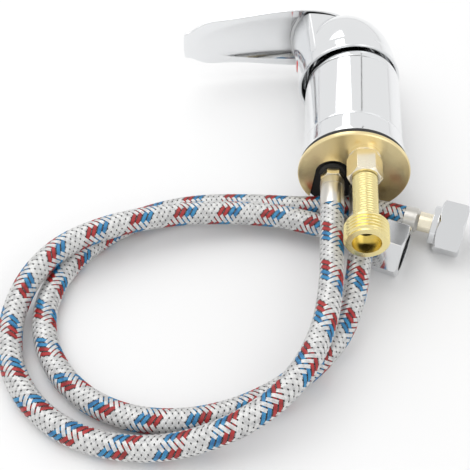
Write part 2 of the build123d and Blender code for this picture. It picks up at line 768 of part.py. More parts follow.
def hose_union(side):
    """Ferrule, flanged tail, loose union nut and its flat washer."""
    origin, direction = union_frame(side)
    ferrule(f"{side}_union_ferrule", origin, direction, UNION_FERRULE_LENGTH, 0.0)
    nut_back = UNION_REAR
    nut_front = UNION_REAR + UNION_NUT_LENGTH
    thread_start = nut_front - UNION_THREAD_LENGTH
    seat = thread_start - UNION_POCKET_LENGTH
    with BuildPart() as tail:
        turned(
            [
                (0, NIPPLE_BORE_R),
                (seat + TAIL_FLANGE, NIPPLE_BORE_R),
                (seat + TAIL_FLANGE, TAIL_FLANGE_R),
                (seat + LIFT, TAIL_FLANGE_R),
                (seat + LIFT, FERRULE_NECK_R),
                (UNION_FERRULE_LENGTH, FERRULE_NECK_R),
                (UNION_FERRULE_LENGTH, HOSE_BORE_R),
                (0, HOSE_BORE_R),
            ],
            origin,
            direction,
        )
    save(tail, f"{side}_union_tail")
    with BuildPart() as nut:
        hexagon(UNION_NUT_AF, origin, direction, nut_back, UNION_NUT_LENGTH)
        turned(
            hex_chamfer_points(nut_back, nut_front, UNION_NUT_AF),
            origin,
            direction,
            Mode.INTERSECT,
        )
        turned(
            rod_points(nut_back - UNION_NUT_COLLAR, nut_back, UNION_NUT_COLLAR_R), origin, direction
        )
        turned(
            rod_points(nut_back - UNION_NUT_COLLAR, nut_front, FERRULE_NECK_R + RUNNING_FIT),
            origin,
            direction,
            Mode.SUBTRACT,
        )
        turned(rod_points(seat, thread_start, UNION_POCKET_R), origin, direction, Mode.SUBTRACT)
        turned(
            rod_points(thread_start, nut_front, UNION_THREAD_R), origin, direction, Mode.SUBTRACT
        )
    save(nut, f"{side}_union_nut")
    with BuildPart() as flat_washer:
        turned(
            tube_points(
                seat + TAIL_FLANGE,
                seat + TAIL_FLANGE + FLAT_WASHER_THICKNESS,
                FLAT_WASHER_R,
                HOSE_BORE_R,
            ),
            origin,
            direction,
        )
    save(flat_washer, f"{side}_union_washer")


# Straight stretch of each hose beside its two ferrules
TAP_LEADS = {"left": 24.8, "right": 16.5}
UNION_LEADS = {"left": 25.0, "right": 23.5}

# Points of each hose's route between those stretches, from the tap's axis
HOSE_ROUTES = {
    "left": [
        (-10.9, -81.1, 26.5),
        (-16.8, -107.1, 23.5),
        (-31.0, -129.7, 20.0),
        (-52.4, -143.5, 14.0),
        (-79.0, -150.5, 7.5),
        (-107.0, -149.5, 5.75),
        (-131.5, -139.5, 5.75),
        (-149.8, -119.5, 5.9),
        (-157.0, -96.5, 8.0),
        (-153.5, -72.5, 13.5),
        (-140.3, -52.5, 17.6),
        (-117.5, -38.3, 18.4),
        (-90.5, -26.5, 15.2),
        (-59.5, -19.8, 11.6),
    ],
    "right": [
        (1.6, -67.0, 17.5),
        (-4.6, -89.3, 10.5),
        (-21.0, -109.4, 6.5),
        (-44.5, -127.1, 5.75),
        (-71.4, -136.4, 5.75),
        (-98.2, -136.0, 5.75),
        (-122.3, -124.6, 5.75),
        (-139.4, -102.2, 5.75),
        (-144.0, -75.6, 5.75),
        (-134.6, -48.4, 5.75),
        (-112.9, -25.6, 5.75),
        (-83.5, -12.2, 5.75),
        (-51.0, -9.2, 5.75),
        (-22.4, -11.4, 7.6),
    ],
}
ARC_SHARE = 0.45


def arc_radii(points):
    """Largest even arc that each corner's two runs leave room for."""
    vectors = [Vector(*b) - Vector(*a) for a, b in zip(points, points[1:])]
    radii = []
    for before, after in zip(vectors, vectors[1:]):
        turn = radians(before.get_angle(after))
        radii.append(ARC_SHARE * min(before.length, after.length) / tan(turn / 2))
    return radii


def hose(side, port):
    """Braided hose as a plain tube along its route."""
    mouth = NIPPLE_HEX_START + NIPPLE_HEX_LENGTH + TAP_FERRULE_LENGTH
    start = stand(port_origin(port), OUTWARD, mouth)
    end, direction = union_frame(side)
    lead_out = stand(start, OUTWARD, TAP_LEADS[side])
    lead_in = stand(end, direction, -UNION_LEADS[side])
    middle = [(TAP_X + x, TAP_Y + y, z) for x, y, z in HOSE_ROUTES[side]]
    points = [start, lead_out, *middle, lead_in, end]
    radii = arc_radii(points)
    with BuildPart() as tube:
        with BuildLine() as route:
            FilletPolyline(*points, radius=radii)
        with BuildSketch(cross_plane(start, OUTWARD)):
            Circle(HOSE_R)
            Circle(HOSE_BORE_R, mode=Mode.SUBTRACT)
        path = route.wires()[0]
        sweep(path=path)
    save(tube, f"{side}_hose")
    section = pi * (HOSE_R**2 - HOSE_BORE_R**2)
    print(side, "hose length", round(path.length, 1))
    print(side, "hose radii", [round(radius) for radius in radii])
    print(side, "hose volume over section", round(tube.part.volume / section, 1))


for side, port in HOSE_PORTS.items():
    hose_nipple(side, port)
    hose_union(side)
    hose(side, port)
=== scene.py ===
"""Looks of a single-lever shampoo basin mixer that lies on a pale studio floor.

Everything is in metres, in the part's own frame: +Z up, +Y along the tap's axis
from its base to its handle, and -X the way that the lever points.
"""

import logging
import math
from dataclasses import dataclass, field
from enum import Enum
from typing import Any

import bpy
import numpy as np
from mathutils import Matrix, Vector

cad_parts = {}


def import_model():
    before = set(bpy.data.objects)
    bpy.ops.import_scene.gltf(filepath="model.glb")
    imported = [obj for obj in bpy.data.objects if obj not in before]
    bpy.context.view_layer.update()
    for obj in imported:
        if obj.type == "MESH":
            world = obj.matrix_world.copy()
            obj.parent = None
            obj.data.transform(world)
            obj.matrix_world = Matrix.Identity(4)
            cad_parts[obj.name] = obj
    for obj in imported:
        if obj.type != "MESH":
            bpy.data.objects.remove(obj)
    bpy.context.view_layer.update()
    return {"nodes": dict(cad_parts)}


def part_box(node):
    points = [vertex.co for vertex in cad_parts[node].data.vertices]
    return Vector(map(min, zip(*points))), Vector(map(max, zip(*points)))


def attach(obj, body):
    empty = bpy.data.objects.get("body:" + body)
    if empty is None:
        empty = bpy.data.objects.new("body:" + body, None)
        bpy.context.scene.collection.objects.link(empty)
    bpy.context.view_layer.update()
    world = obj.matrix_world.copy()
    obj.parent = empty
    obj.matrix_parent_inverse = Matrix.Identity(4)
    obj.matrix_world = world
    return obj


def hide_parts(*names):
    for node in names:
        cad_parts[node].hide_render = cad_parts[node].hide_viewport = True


LOG = logging.getLogger("mixer_tap")
MM = 0.001
SAME_POINT = 1e-7
SENSOR_WIDTH = 36.0

Point = tuple[float, float, float]
Shell = tuple[np.ndarray, np.ndarray]
Frame = dict[str, Any]

TAP_AXIS = (32.993 * MM, -22.358 * MM, 27.15 * MM)
UP = np.array((0.0, 0.0, 1.0))


class Side(Enum):
    """The two supply hoses, by the port that each one leaves."""

    LEFT = "left"
    RIGHT = "right"


class Lay(Enum):
    """Hand of a family of braid carriers about the hose's own direction."""

    RIGHT_HAND = 1
    LEFT_HAND = -1


@dataclass(frozen=True)
class Finish:
    """One surface finish, set on a principled shader's own sockets.

    Attributes:
        name: Name of the material.
        colour: Base colour, linear.
        metallic: Share of metal.
        roughness: Surface roughness.
        coat: Weight of a clear coat.
        grain: Depth of a fine bump, as a share of a millimetre.
        grain_scale: How fine that bump is, per metre.
    """

    name: str
    colour: Point
    metallic: float = 0.0
    roughness: float = 0.4
    coat: float = 0.0
    grain: float = 0.0
    grain_scale: float = 900.0

    def material(self) -> bpy.types.Material:
        """Make the material, or find it if it is made.

        Returns:
            The material with this finish.
        """
        known = bpy.data.materials.get(self.name)
        if known is not None:
            return known
        made = bpy.data.materials.new(self.name)
        made.use_nodes = True
        shader = made.node_tree.nodes["Principled BSDF"]
        shader.inputs["Base Color"].default_value = (*self.colour, 1.0)
        shader.inputs["Metallic"].default_value = self.metallic
        shader.inputs["Roughness"].default_value = self.roughness
        shader.inputs["Coat Weight"].default_value = self.coat
        self.dress(made.node_tree, shader)
        return made

    def dress(self, tree: bpy.types.NodeTree, shader: bpy.types.Node) -> None:
        """Add the fine bump of a finish that has one.

        Args:
            tree: Node tree of the material.
            shader: Its principled shader.
        """
        if self.grain <= 0.0:
            return
        place = tree.nodes.new("ShaderNodeTexCoord")
        noise = tree.nodes.new("ShaderNodeTexNoise")
        noise.inputs["Scale"].default_value = self.grain_scale
        bump = tree.nodes.new("ShaderNodeBump")
        bump.inputs["Strength"].default_value = self.grain
        bump.inputs["Distance"].default_value = MM
        tree.links.new(place.outputs["Object"], noise.inputs["Vector"])
        tree.links.new(noise.outputs["Fac"], bump.inputs["Height"])
        tree.links.new(bump.outputs["Normal"], shader.inputs["Normal"])


@dataclass(frozen=True)
class PlatedFinish(Finish):
    """A polished plating that softens edges and carries a faint haze of handling marks, and may
    carry painted shade in the corners of its hollows.

    Attributes:
        edge: Radius of the softened edges, in millimetres.
        edge_samples: Rays that find the softened edges.
        haze: Roughness of the haziest patches.
        haze_scale: How small those patches are, per metre.
        haze_detail: How ragged those patches are.
        haze_start: Level where the haze begins.
        haze_full: Level where the haze is complete.
        painted_hollow_shade: Reach of the painted shade that darkens the colour in the corners of a
            hollow, in millimetres.
    """

    edge: float = 0.3
    edge_samples: int = 6
    haze: float = 0.09
    haze_scale: float = 45.0
    haze_detail: float = 6.0
    haze_start: float = 0.4
    haze_full: float = 0.75
    painted_hollow_shade: float = 0.0

    def dress(self, tree: bpy.types.NodeTree, shader: bpy.types.Node) -> None:
        """Add the soft edges, the haze and the painted shade in the hollows.

        Args:
            tree: Node tree of the material.
            shader: Its principled shader.
        """
        soft = tree.nodes.new("ShaderNodeBevel")
        soft.samples = self.edge_samples
        soft.inputs["Radius"].default_value = self.edge * MM
        tree.links.new(soft.outputs["Normal"], shader.inputs["Normal"])
        place = tree.nodes.new("ShaderNodeTexCoord")
        noise = tree.nodes.new("ShaderNodeTexNoise")
        noise.inputs["Scale"].default_value = self.haze_scale
        noise.inputs["Detail"].default_value = self.haze_detail
        spread = tree.nodes.new("ShaderNodeMapRange")
        spread.inputs["From Min"].default_value = self.haze_start
        spread.inputs["From Max"].default_value = self.haze_full
        spread.inputs["To Min"].default_value = self.roughness
        spread.inputs["To Max"].default_value = self.haze
        tree.links.new(place.outputs["Object"], noise.inputs["Vector"])
        tree.links.new(noise.outputs["Fac"], spread.inputs["Value"])
        tree.links.new(spread.outputs["Result"], shader.inputs["Roughness"])
        if self.painted_hollow_shade > 0.0:
            # Painted shade: an occlusion node darkens the base colour in the corners of the piece's
            # own hollows.
            painted_corner_shade = tree.nodes.new("ShaderNodeAmbientOcclusion")
            painted_corner_shade.only_local = True
            painted_corner_shade.inputs["Color"].default_value = (*self.colour, 1.0)
            painted_corner_shade.inputs["Distance"].default_value = self.painted_hollow_shade * MM
            tree.links.new(painted_corner_shade.outputs["Color"], shader.inputs["Base Color"])


@dataclass(frozen=True)
class DriftingPatchFinish(Finish):
    """A finish whose colour drifts across the piece towards a darker colour, in soft patches.

    Attributes:
        dark_colour: Colour of the patches, linear.
        patch_scale: How small the patches are, per metre.
        patch_detail: How ragged the patches are.
        patch_share: How far the patches break up the drift.
        drift_turn: Turn of the drift about +Y, in degrees from +X.
        drift_share: Strength of the drift across the piece.
        dark_start: Level where the darker colour begins.
        dark_full: Level where the darker colour is complete.
    """

    dark_colour: Point = (0.1, 0.05, 0.02)
    patch_scale: float = 60.0
    patch_detail: float = 4.0
    patch_share: float = 0.5
    drift_turn: float = -50.0
    drift_share: float = 1.0
    dark_start: float = 0.3
    dark_full: float = 0.85

    def dress(self, tree: bpy.types.NodeTree, shader: bpy.types.Node) -> None:
        """Add the bump and the darker patches.

        Args:
            tree: Node tree of the material.
            shader: Its principled shader.
        """
        super().dress(tree, shader)
        place = tree.nodes.new("ShaderNodeTexCoord")
        noise = tree.nodes.new("ShaderNodeTexNoise")
        noise.inputs["Scale"].default_value = self.patch_scale
        noise.inputs["Detail"].default_value = self.patch_detail
        turn = tree.nodes.new("ShaderNodeMapping")
        turn.inputs["Rotation"].default_value = (0.0, math.radians(self.drift_turn), 0.0)
        turn.inputs["Scale"].default_value = (self.drift_share,) * 3
        drift = tree.nodes.new("ShaderNodeTexGradient")
        mixed = tree.nodes.new("ShaderNodeMath")
        mixed.operation = "MULTIPLY_ADD"
        mixed.inputs[1].default_value = self.patch_share
        ramp = tree.nodes.new("ShaderNodeValToRGB")
        ramp.color_ramp.elements[0].position = self.dark_start
        ramp.color_ramp.elements[0].color = (*self.colour, 1.0)
        ramp.color_ramp.elements[1].position = self.dark_full
        ramp.color_ramp.elements[1].color = (*self.dark_colour, 1.0)
        tree.links.new(place.outputs["Object"], noise.inputs["Vector"])
        tree.links.new(place.outputs["Generated"], turn.inputs["Vector"])
        tree.links.new(turn.outputs["Vector"], drift.inputs["Vector"])
        tree.links.new(noise.outputs["Fac"], mixed.inputs[0])
        tree.links.new(drift.outputs["Fac"], mixed.inputs[2])
        tree.links.new(mixed.outputs["Value"], ramp.inputs["Fac"])
        tree.links.new(ramp.outputs["Color"], shader.inputs["Base Color"])


@dataclass(frozen=True)
class StrandFinish(DriftingPatchFinish):
    """A braid strand that is broken into small lighter and darker patches, without a drift."""

    roughness: float = 0.35
    patch_scale: float = 420.0
    patch_share: float = 1.0
    drift_share: float = 0.0
    dark_start: float = 0.42
    dark_full: float = 0.66


CHROME_COLOUR = (0.86, 0.87, 0.88)
CHROME = PlatedFinish("bright_chrome", CHROME_COLOUR, metallic=1.0, roughness=0.04, edge=1.4)
# Handle chrome with painted shade that darkens the corners of the lever's hollow underside.
HANDLE_CHROME = PlatedFinish(
    "handle_chrome_with_painted_shade",
    CHROME_COLOUR,
    metallic=1.0,
    roughness=0.04,
    edge=1.0,
    painted_hollow_shade=9.0,
)
NUT_CHROME = PlatedFinish(
    "nut_chrome",
    (0.74, 0.75, 0.76),
    metallic=1.0,
    roughness=0.08,
    edge=0.5,
    haze=0.12,
)
NICKEL = PlatedFinish(
    "nickel_plate",
    (0.92, 0.85, 0.68),
    metallic=1.0,
    roughness=0.16,
    haze=0.3,
)
STAINLESS = Finish(
    "stainless_steel",
    (0.64, 0.62, 0.58),
    metallic=1.0,
    roughness=0.28,
    grain=0.05,
)
SHANK_BRASS = PlatedFinish(
    "bright_turned_brass",
    (0.88, 0.76, 0.38),
    metallic=1.0,
    roughness=0.2,
    edge=0.1,
    haze=0.36,
)
RAW_BRASS = Finish("machined_brass", (0.72, 0.5, 0.2), metallic=1.0, roughness=0.3, grain=0.06)
# Rolled brass, darker and browner towards one side of the plate and in soft patches.
PLATE_BRASS = DriftingPatchFinish(
    "rolled_brass_darker_to_one_side",
    (0.95, 0.79, 0.44),
    metallic=1.0,
    roughness=0.3,
    grain=0.08,
    dark_colour=(0.32, 0.22, 0.09),
    dark_start=0.28,
    dark_full=0.78,
)
# Black rubber of the washers and seals, also used for the black sheet of painted shade inside the
# handle's skirt.
BLACK_RUBBER_AND_SHADE = Finish(
    "black_rubber",
    (0.012, 0.012, 0.012),
    roughness=0.55,
    grain=0.15,
    grain_scale=1500.0,
)
CARTRIDGE_PLASTIC = Finish("moulded_plastic", (0.62, 0.61, 0.56), roughness=0.45, grain=0.06)
DISC_CERAMIC = Finish("lapped_ceramic", (0.85, 0.84, 0.8), roughness=0.15, grain=0.02)
RED_PLUG = Finish("glossy_red_plastic", (0.55, 0.02, 0.015), roughness=0.2, coat=0.5, grain=0.02)
BRAID_SILVER = StrandFinish(
    "silver_strand",
    (0.78, 0.78, 0.77),
    metallic=0.3,
    dark_colour=(0.55, 0.55, 0.55),
)
BRAID_RED = StrandFinish("red_strand", (0.46, 0.02, 0.02), coat=0.2, dark_colour=(0.26, 0.01, 0.012))
BRAID_BLUE = StrandFinish("blue_strand", (0.03, 0.27, 0.52), coat=0.2, dark_colour=(0.015, 0.13, 0.34))
# Dark liner colour, also used for the ribbons of painted shade under the coloured carriers.
LINER_AND_BRAID_SHADE = Finish("dark_liner_and_braid_shade", (0.018, 0.018, 0.02), roughness=0.6, grain=0.1)
FLOOR_WHITE = Finish("pale_floor", (0.86, 0.86, 0.86), roughness=0.7)
CARD_BLACK = Finish("black_card", (0.01, 0.01, 0.01), roughness=0.9)

NODE_FINISHES: dict[Finish, tuple[str, ...]] = {
    CHROME: ("body", "bonnet"),
    HANDLE_CHROME: ("handle",),
    NUT_CHROME: ("left_union_nut", "right_union_nut"),
    BLACK_RUBBER_AND_SHADE: (
        "rubber_washer",
        "cartridge_seals",
        "left_nipple_ring",
        "right_nipple_ring",
        "left_union_washer",
        "right_union_washer",
    ),
    PLATE_BRASS: ("clamp_plate",),
    NICKEL: ("fixing_nut", "left_nipple", "right_nipple", "left_union_tail", "right_union_tail"),
    STAINLESS: (
        "left_tap_ferrule",
        "right_tap_ferrule",
        "left_union_ferrule",
        "right_union_ferrule",
        "handle_screw",
        "stem_pin",
    ),
    CARTRIDGE_PLASTIC: ("cartridge_base", "disc_carrier", "cartridge_driver", "cartridge_housing"),
    DISC_CERAMIC: ("fixed_disc", "moving_disc"),
    RAW_BRASS: ("cartridge_nut", "cartridge_stem"),
    RED_PLUG: ("index_plug",),
}


def show(
    name: str,
    points: np.ndarray,
    faces: np.ndarray,
    finish: Finish,
    crease: float = 35.0,
) -> bpy.types.Object:
    """Put a mesh in the scene, smooth except along its creases.

    Args:
        name: Name of the object.
        points: Vertex places, one row each.
        faces: Vertex numbers of the faces, one row each.
        finish: Finish of the whole piece.
        crease: Angle in degrees beyond which an edge stays sharp.

    Returns:
        The new object.
    """
    mesh = bpy.data.meshes.new(name)
    mesh.from_pydata(points.tolist(), [], faces.tolist())
    mesh.shade_smooth()
    mesh.set_sharp_from_angle(angle=math.radians(crease))
    mesh.materials.append(finish.material())
    made = bpy.data.objects.new(name, mesh)
    bpy.context.scene.collection.objects.link(made)
    return made


def grid_faces(rows: int, columns: int, wrap_rows: bool, wrap_columns: bool) -> np.ndarray:
    """Number the four-sided faces of a grid of vertices.

    Args:
        rows: Rows of vertices.
        columns: Vertices in each row.
        wrap_rows: Whether the last row joins the first.
        wrap_columns: Whether the last column joins the first.

    Returns:
        Vertex numbers, one face in each row.
    """
    i, j = np.meshgrid(
        np.arange(rows if wrap_rows else rows - 1),
        np.arange(columns if wrap_columns else columns - 1),
        indexing="ij",
    )
    below = (i + 1) % rows
    beside = (j + 1) % columns
    corners = (i * columns + j, i * columns + beside, below * columns + beside, below * columns + j)
    return np.stack([c.ravel() for c in corners], axis=1)


@dataclass
class Shank:
    """Brass outlet shank with a fine thread and a larger pipe thread at its end.

    Attributes:
        node: CAD node that the mesh stands for.
        rod_radius: Radius of the fine thread's crests.
        rod_pitch: Pitch of the fine thread.
        rod_depth: Depth of the fine thread.
        bore_radius: Radius of the water way.
        mouth_radius: Radius of the wider mouth.
        mouth_depth: Depth of that mouth.
        outlet_length: Length of the pipe thread.
        outlet_pitch: Pitch of the pipe thread.
        outlet_depth: Depth of the pipe thread.
        edge: Width of the chamfers at the pipe thread's ends.
        turns: Vertices round the shank.
        step: Spacing of the rings along a thread.
    """

    node: str = "outlet_shank"
    rod_radius: float = 6.0 * MM
    rod_pitch: float = 1.5 * MM
    rod_depth: float = 0.5 * MM
    bore_radius: float = 4.2 * MM
    mouth_radius: float = 6.8 * MM
    mouth_depth: float = 8.0 * MM
    outlet_length: float = 11.0 * MM
    outlet_pitch: float = 1.814 * MM
    outlet_depth: float = 1.1 * MM
    edge: float = 0.9 * MM
    turns: int = 72
    step: float = 0.16 * MM

    def rings(self, length: float, radius: float) -> list[tuple[float, float, float, float]]:
        """List the rings of the shank's outline, inside first.

        Args:
            length: Length of the whole shank.
            radius: Radius of the pipe thread's crests.

        Returns:
            Place along the shank, radius, thread depth and pitch of each ring.
        """
        shoulder = length - self.outlet_length
        plain = self.rod_pitch
        rings = [
            (0.0, self.bore_radius, 0.0, plain),
            (length - self.mouth_depth, self.bore_radius, 0.0, plain),
            (length - self.mouth_depth, self.mouth_radius, 0.0, plain),
            (length, self.mouth_radius, 0.0, plain),
            (length, radius - self.edge, 0.0, plain),
        ]
        for along in np.arange(length - self.edge, shoulder + self.edge, -self.step):
            rings.append((float(along), radius, self.outlet_depth, self.outlet_pitch))
        rings.append((shoulder, radius - self.edge, 0.0, plain))
        rings.append((shoulder, self.rod_radius - self.rod_depth, 0.0, plain))
        for along in np.arange(shoulder - self.step, self.step, -self.step):
            rings.append((float(along), self.rod_radius, self.rod_depth, self.rod_pitch))
        rings.append((0.0, self.rod_radius - self.rod_depth, 0.0, plain))
        return rings

    def build(self) -> bpy.types.Object:
        """Make the threaded shank where its CAD node is.

        Returns:
            The shank's mesh.
        """
        low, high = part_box(self.node)
        rings = np.array(self.rings(high.y - low.y, (high.x - low.x) / 2))
        turn = np.arange(self.turns) / self.turns
        phase = (rings[:, :1] / rings[:, 3:] - turn) % 1.0
        flank = 0.5 + 0.5 * np.cos(2 * math.pi * phase)
        radius = rings[:, 1:2] - rings[:, 2:3] * flank
        angle = 2 * math.pi * turn
        x = (low.x + high.x) / 2 + radius * np.cos(angle)
        z = (low.z + high.z) / 2 + radius * np.sin(angle)
        y = np.broadcast_to(high.y - rings[:, :1], x.shape)
        points = np.stack([x, y, z], axis=2).reshape(-1, 3)
        faces = grid_faces(len(rings), self.turns, wrap_rows=True, wrap_columns=True)
        made = show("threaded_shank", points, faces, SHANK_BRASS)
        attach(made, "base")
        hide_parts(self.node)
        return made


@dataclass
class HandleShell:
    """A shell turned about the closed handle's own axis.

    Attributes:
        pivot: Point that the lever tilts about.
        closed_angle: Tilt of the closed handle from the tap's axis, in degrees.
        turns: Vertices round the shell.
    """

    pivot: Point = (TAP_AXIS[0], TAP_AXIS[1] + 48.0 * MM, TAP_AXIS[2])
    closed_angle: float = 7.0
    turns: int = 96

    def turned(self, outline: np.ndarray) -> Shell:
        """Turn an outline about the handle's axis.

        Args:
            outline: Height above the pivot and radius of each ring.

        Returns:
            Points and faces of the shell.
        """
        tilt = math.radians(self.closed_angle)
        ahead = np.array((-math.sin(tilt), math.cos(tilt), 0.0))
        side = np.array((math.cos(tilt), math.sin(tilt), 0.0))
        angle = np.linspace(0.0, 2 * math.pi, self.turns, endpoint=False)
        round_it = np.cos(angle)[:, None] * side + np.sin(angle)[:, None] * UP
        height, radius = outline[:, :1, None], outline[:, 1:, None]
        points = np.array(self.pivot) + height * ahead + radius * round_it
        faces = grid_faces(len(outline), self.turns, wrap_rows=False, wrap_columns=True)
        return points.reshape(-1, 3), faces


@dataclass
class SkirtShadeSheet(HandleShell):
    """Black sheet just inside the handle's skirt, painted shade that darkens the gap above the
    bonnet.

    Attributes:
        outline: Heights above the pivot and radii of the sheet.
    """

    outline: tuple[tuple[float, float], ...] = (
        (14.4 * MM, 25.48 * MM),
        (19.5 * MM, 25.16 * MM),
        (24.0 * MM, 24.6 * MM),
    )

    def build(self) -> bpy.types.Object:
        """Make the black sheet of painted shade.

        Returns:
            The sheet, which rides with the lever.
        """
        points, faces = self.turned(np.array(self.outline))
        # Painted shade: a black sheet stands in for the shade in the gap under the skirt.
        made = show("skirt_shade_sheet", points, faces, BLACK_RUBBER_AND_SHADE)
        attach(made, "lever")
        return made


@dataclass
class HandleCrown(HandleShell):
    """Full round shoulder over the handle's dome, which runs into the lever's top.

    Attributes:
        foot: Height of the crown's lower edge, which lies inside the dome's wall.
        top: Height of the crown's middle.
        radius: Radius of the lower edge.
        fullness: Power of the rounded outline, 2 for an ellipse and more for a squarer one.
        rows: Rings from the edge to the middle.
    """

    foot: float = 20.0 * MM
    top: float = 57.0 * MM
    radius: float = 26.55 * MM
    fullness: float = 2.4
    rows: int = 48

    def build(self) -> bpy.types.Object:
        """Make the crown and close it in the middle.

        Returns:
            The crown, which rides with the lever.
        """
        rise = np.linspace(0.0, math.pi / 2, self.rows, endpoint=False)
        power = 2 / self.fullness
        heights = self.foot + (self.top - self.foot) * np.sin(rise) ** power
        radii = self.radius * np.cos(rise) ** power
        points, faces = self.turned(np.stack([heights, radii], axis=1))
        ring_start, middle = len(points) - self.turns, len(points)
        pairs = np.arange(0, self.turns, 2)
        spokes = [ring_start + (pairs + step) % self.turns for step in range(3)]
        fan = np.stack([np.full_like(pairs, middle), *spokes], axis=1)
        points = np.vstack([points, points[ring_start:].mean(axis=0)])
        made = show("handle_crown", points, np.vstack([faces, fan])[:, ::-1], CHROME)
        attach(made, "lever")
        return made


@dataclass
class Hose:
    """Braided supply hose: a dark liner under two crossing families of carriers, with dark ribbons
    of painted shade under the coloured carriers.

    Attributes:
        side: Which hose it is.
        route: Control points of its centreline.
        mark_turn: Turn of the first red carrier at the hose's start, as a share of a turn.
        radius: Radius over the braid.
        liner_radius: Radius of the liner that shows between the carriers.
        pitch: Advance of a carrier in one turn.
        carriers: Carriers in each family.
        marked: Red carriers, and blue ones, in the left-hand family.
        filaments: Filaments laid side by side in a carrier.
        filament_fill: Share of its space that a filament fills.
        cover: Share of its room that a carrier's filaments fill.
        shade_ribbon_cover: Share of its room that the dark ribbon of painted shade below them
            fills.
        shade_ribbon_drop: Depth of that ribbon below the filaments' edges.
        weave: Rise and fall of a carrier as it passes over and under.
        weave_hold: How flat a carrier stays at the top and foot of its rise, 1 for a plain wave.
        groove: Depth between two filaments.
        step: Advance along the hose between two rows of vertices.
        band_length: Length of the crimped band next to the tap.
        band_rise: Thickness of that band over the braid.
        band_turns: Vertices round it.
        line_steps: Steps of the spline between two route points.
        round_steps: Steps of a quarter of the liner's section.
        line: Points of the centreline.
        across: Sideways direction at each of those points.
        ahead: Direction of the hose at each of them.
        along: Distance of each of them from the start.
    """

    side: Side
    route: list[Point]
    mark_turn: float = 0.0
    radius: float = 5.75 * MM
    liner_radius: float = 5.3 * MM
    pitch: float = 21.4 * MM
    carriers: int = 8
    marked: int = 2
    filaments: int = 4
    filament_fill: float = 0.92
    cover: float = 0.7
    shade_ribbon_cover: float = 0.95
    shade_ribbon_drop: float = 0.03 * MM
    weave: float = 0.16 * MM
    weave_hold: float = 1.5
    groove: float = 0.12 * MM
    step: float = 0.45 * MM
    band_length: float = 7.0 * MM
    band_rise: float = 0.15 * MM
    band_turns: int = 48
    line_steps: int = 24
    round_steps: int = 6
    line: np.ndarray = field(init=False, default_factory=lambda: np.zeros((0, 3)))
    across: np.ndarray = field(init=False, default_factory=lambda: np.zeros((0, 3)))
    ahead: np.ndarray = field(init=False, default_factory=lambda: np.zeros((0, 3)))
    along: np.ndarray = field(init=False, default_factory=lambda: np.zeros(0))

    def curve(self) -> bpy.types.Object:
        """Draw the liner as one smooth spline over the route's points.

        Returns:
            The curve, round and dark.
        """
        data = bpy.data.curves.new(f"{self.side.value}_hose_liner", "CURVE")
        data.dimensions = "3D"
        data.resolution_u = self.line_steps
        spline = data.splines.new("NURBS")
        spline.points.add(len(self.route) - 1)
        for control, place in zip(spline.points, self.route):
            control.co = (*place, 1.0)
        spline.order_u = 3
        spline.use_endpoint_u = True
        made = bpy.data.objects.new(data.name, data)
        bpy.context.scene.collection.objects.link(made)
        self.read_line(made)
        data.bevel_depth = self.liner_radius
        data.bevel_resolution = self.round_steps
        data.use_fill_caps = True
        data.materials.append(LINER_AND_BRAID_SHADE.material())
        return made

    def read_line(self, curve: bpy.types.Object) -> None:
        """Read the centreline and carry an even frame along it.

        Args:
            curve: The spline while it has no thickness.
        """
        bpy.context.view_layer.update()
        mesh = bpy.data.meshes.new_from_object(curve)
        line = np.array([v.co for v in mesh.vertices])
        bpy.data.meshes.remove(mesh)
        steps = np.linalg.norm(np.diff(line, axis=0), axis=1)
        line = line[np.concatenate([[True], steps > SAME_POINT])]
        steps = np.linalg.norm(np.diff(line, axis=0), axis=1)
        self.line = line
        self.along = np.concatenate([[0.0], np.cumsum(steps)])
        tangents = np.gradient(line, self.along, axis=0)
        tangents /= np.linalg.norm(tangents, axis=1, keepdims=True)
        across = [Vector(UP)]
        for before, after in zip(tangents, tangents[1:]):
            turn = Vector(before).rotation_difference(Vector(after))
            across.append(turn @ across[-1])
        flat = np.array(across)
        flat -= (flat * tangents).sum(axis=1, keepdims=True) * tangents
        self.across = flat / np.linalg.norm(flat, axis=1, keepdims=True)
        self.ahead = tangents

    def place(self, along: np.ndarray, angle: np.ndarray, radius: np.ndarray) -> np.ndarray:
        """Find points round the centreline.

        Args:
            along: Distances from the start of the hose.
            angle: Angles about it, right-handed, from its upper side.
            radius: Distances from the centreline.

        Returns:
            Points, with the arguments' shape and one more axis.
        """
        centre, side, ahead = (
            np.stack([np.interp(along, self.along, part[:, k]) for k in range(3)], axis=-1)
            for part in (self.line, self.across, self.ahead)
        )
        other = np.cross(ahead, side)
        outward = np.cos(angle)[..., None] * side + np.sin(angle)[..., None] * other
        return centre + radius[..., None] * outward

    def carrier_room(self) -> float:
        """Find the room across a carrier, square to its own direction.

        Returns:
            Distance between the middles of two neighbours in one family.
        """
        return self.pitch / self.carriers * math.sin(self.lean())

    def lean(self) -> float:
        """Find how far a carrier leans from the hose's own direction.

        Returns:
            Angle in radians.
        """
        return math.atan2(2 * math.pi * self.radius, self.pitch)

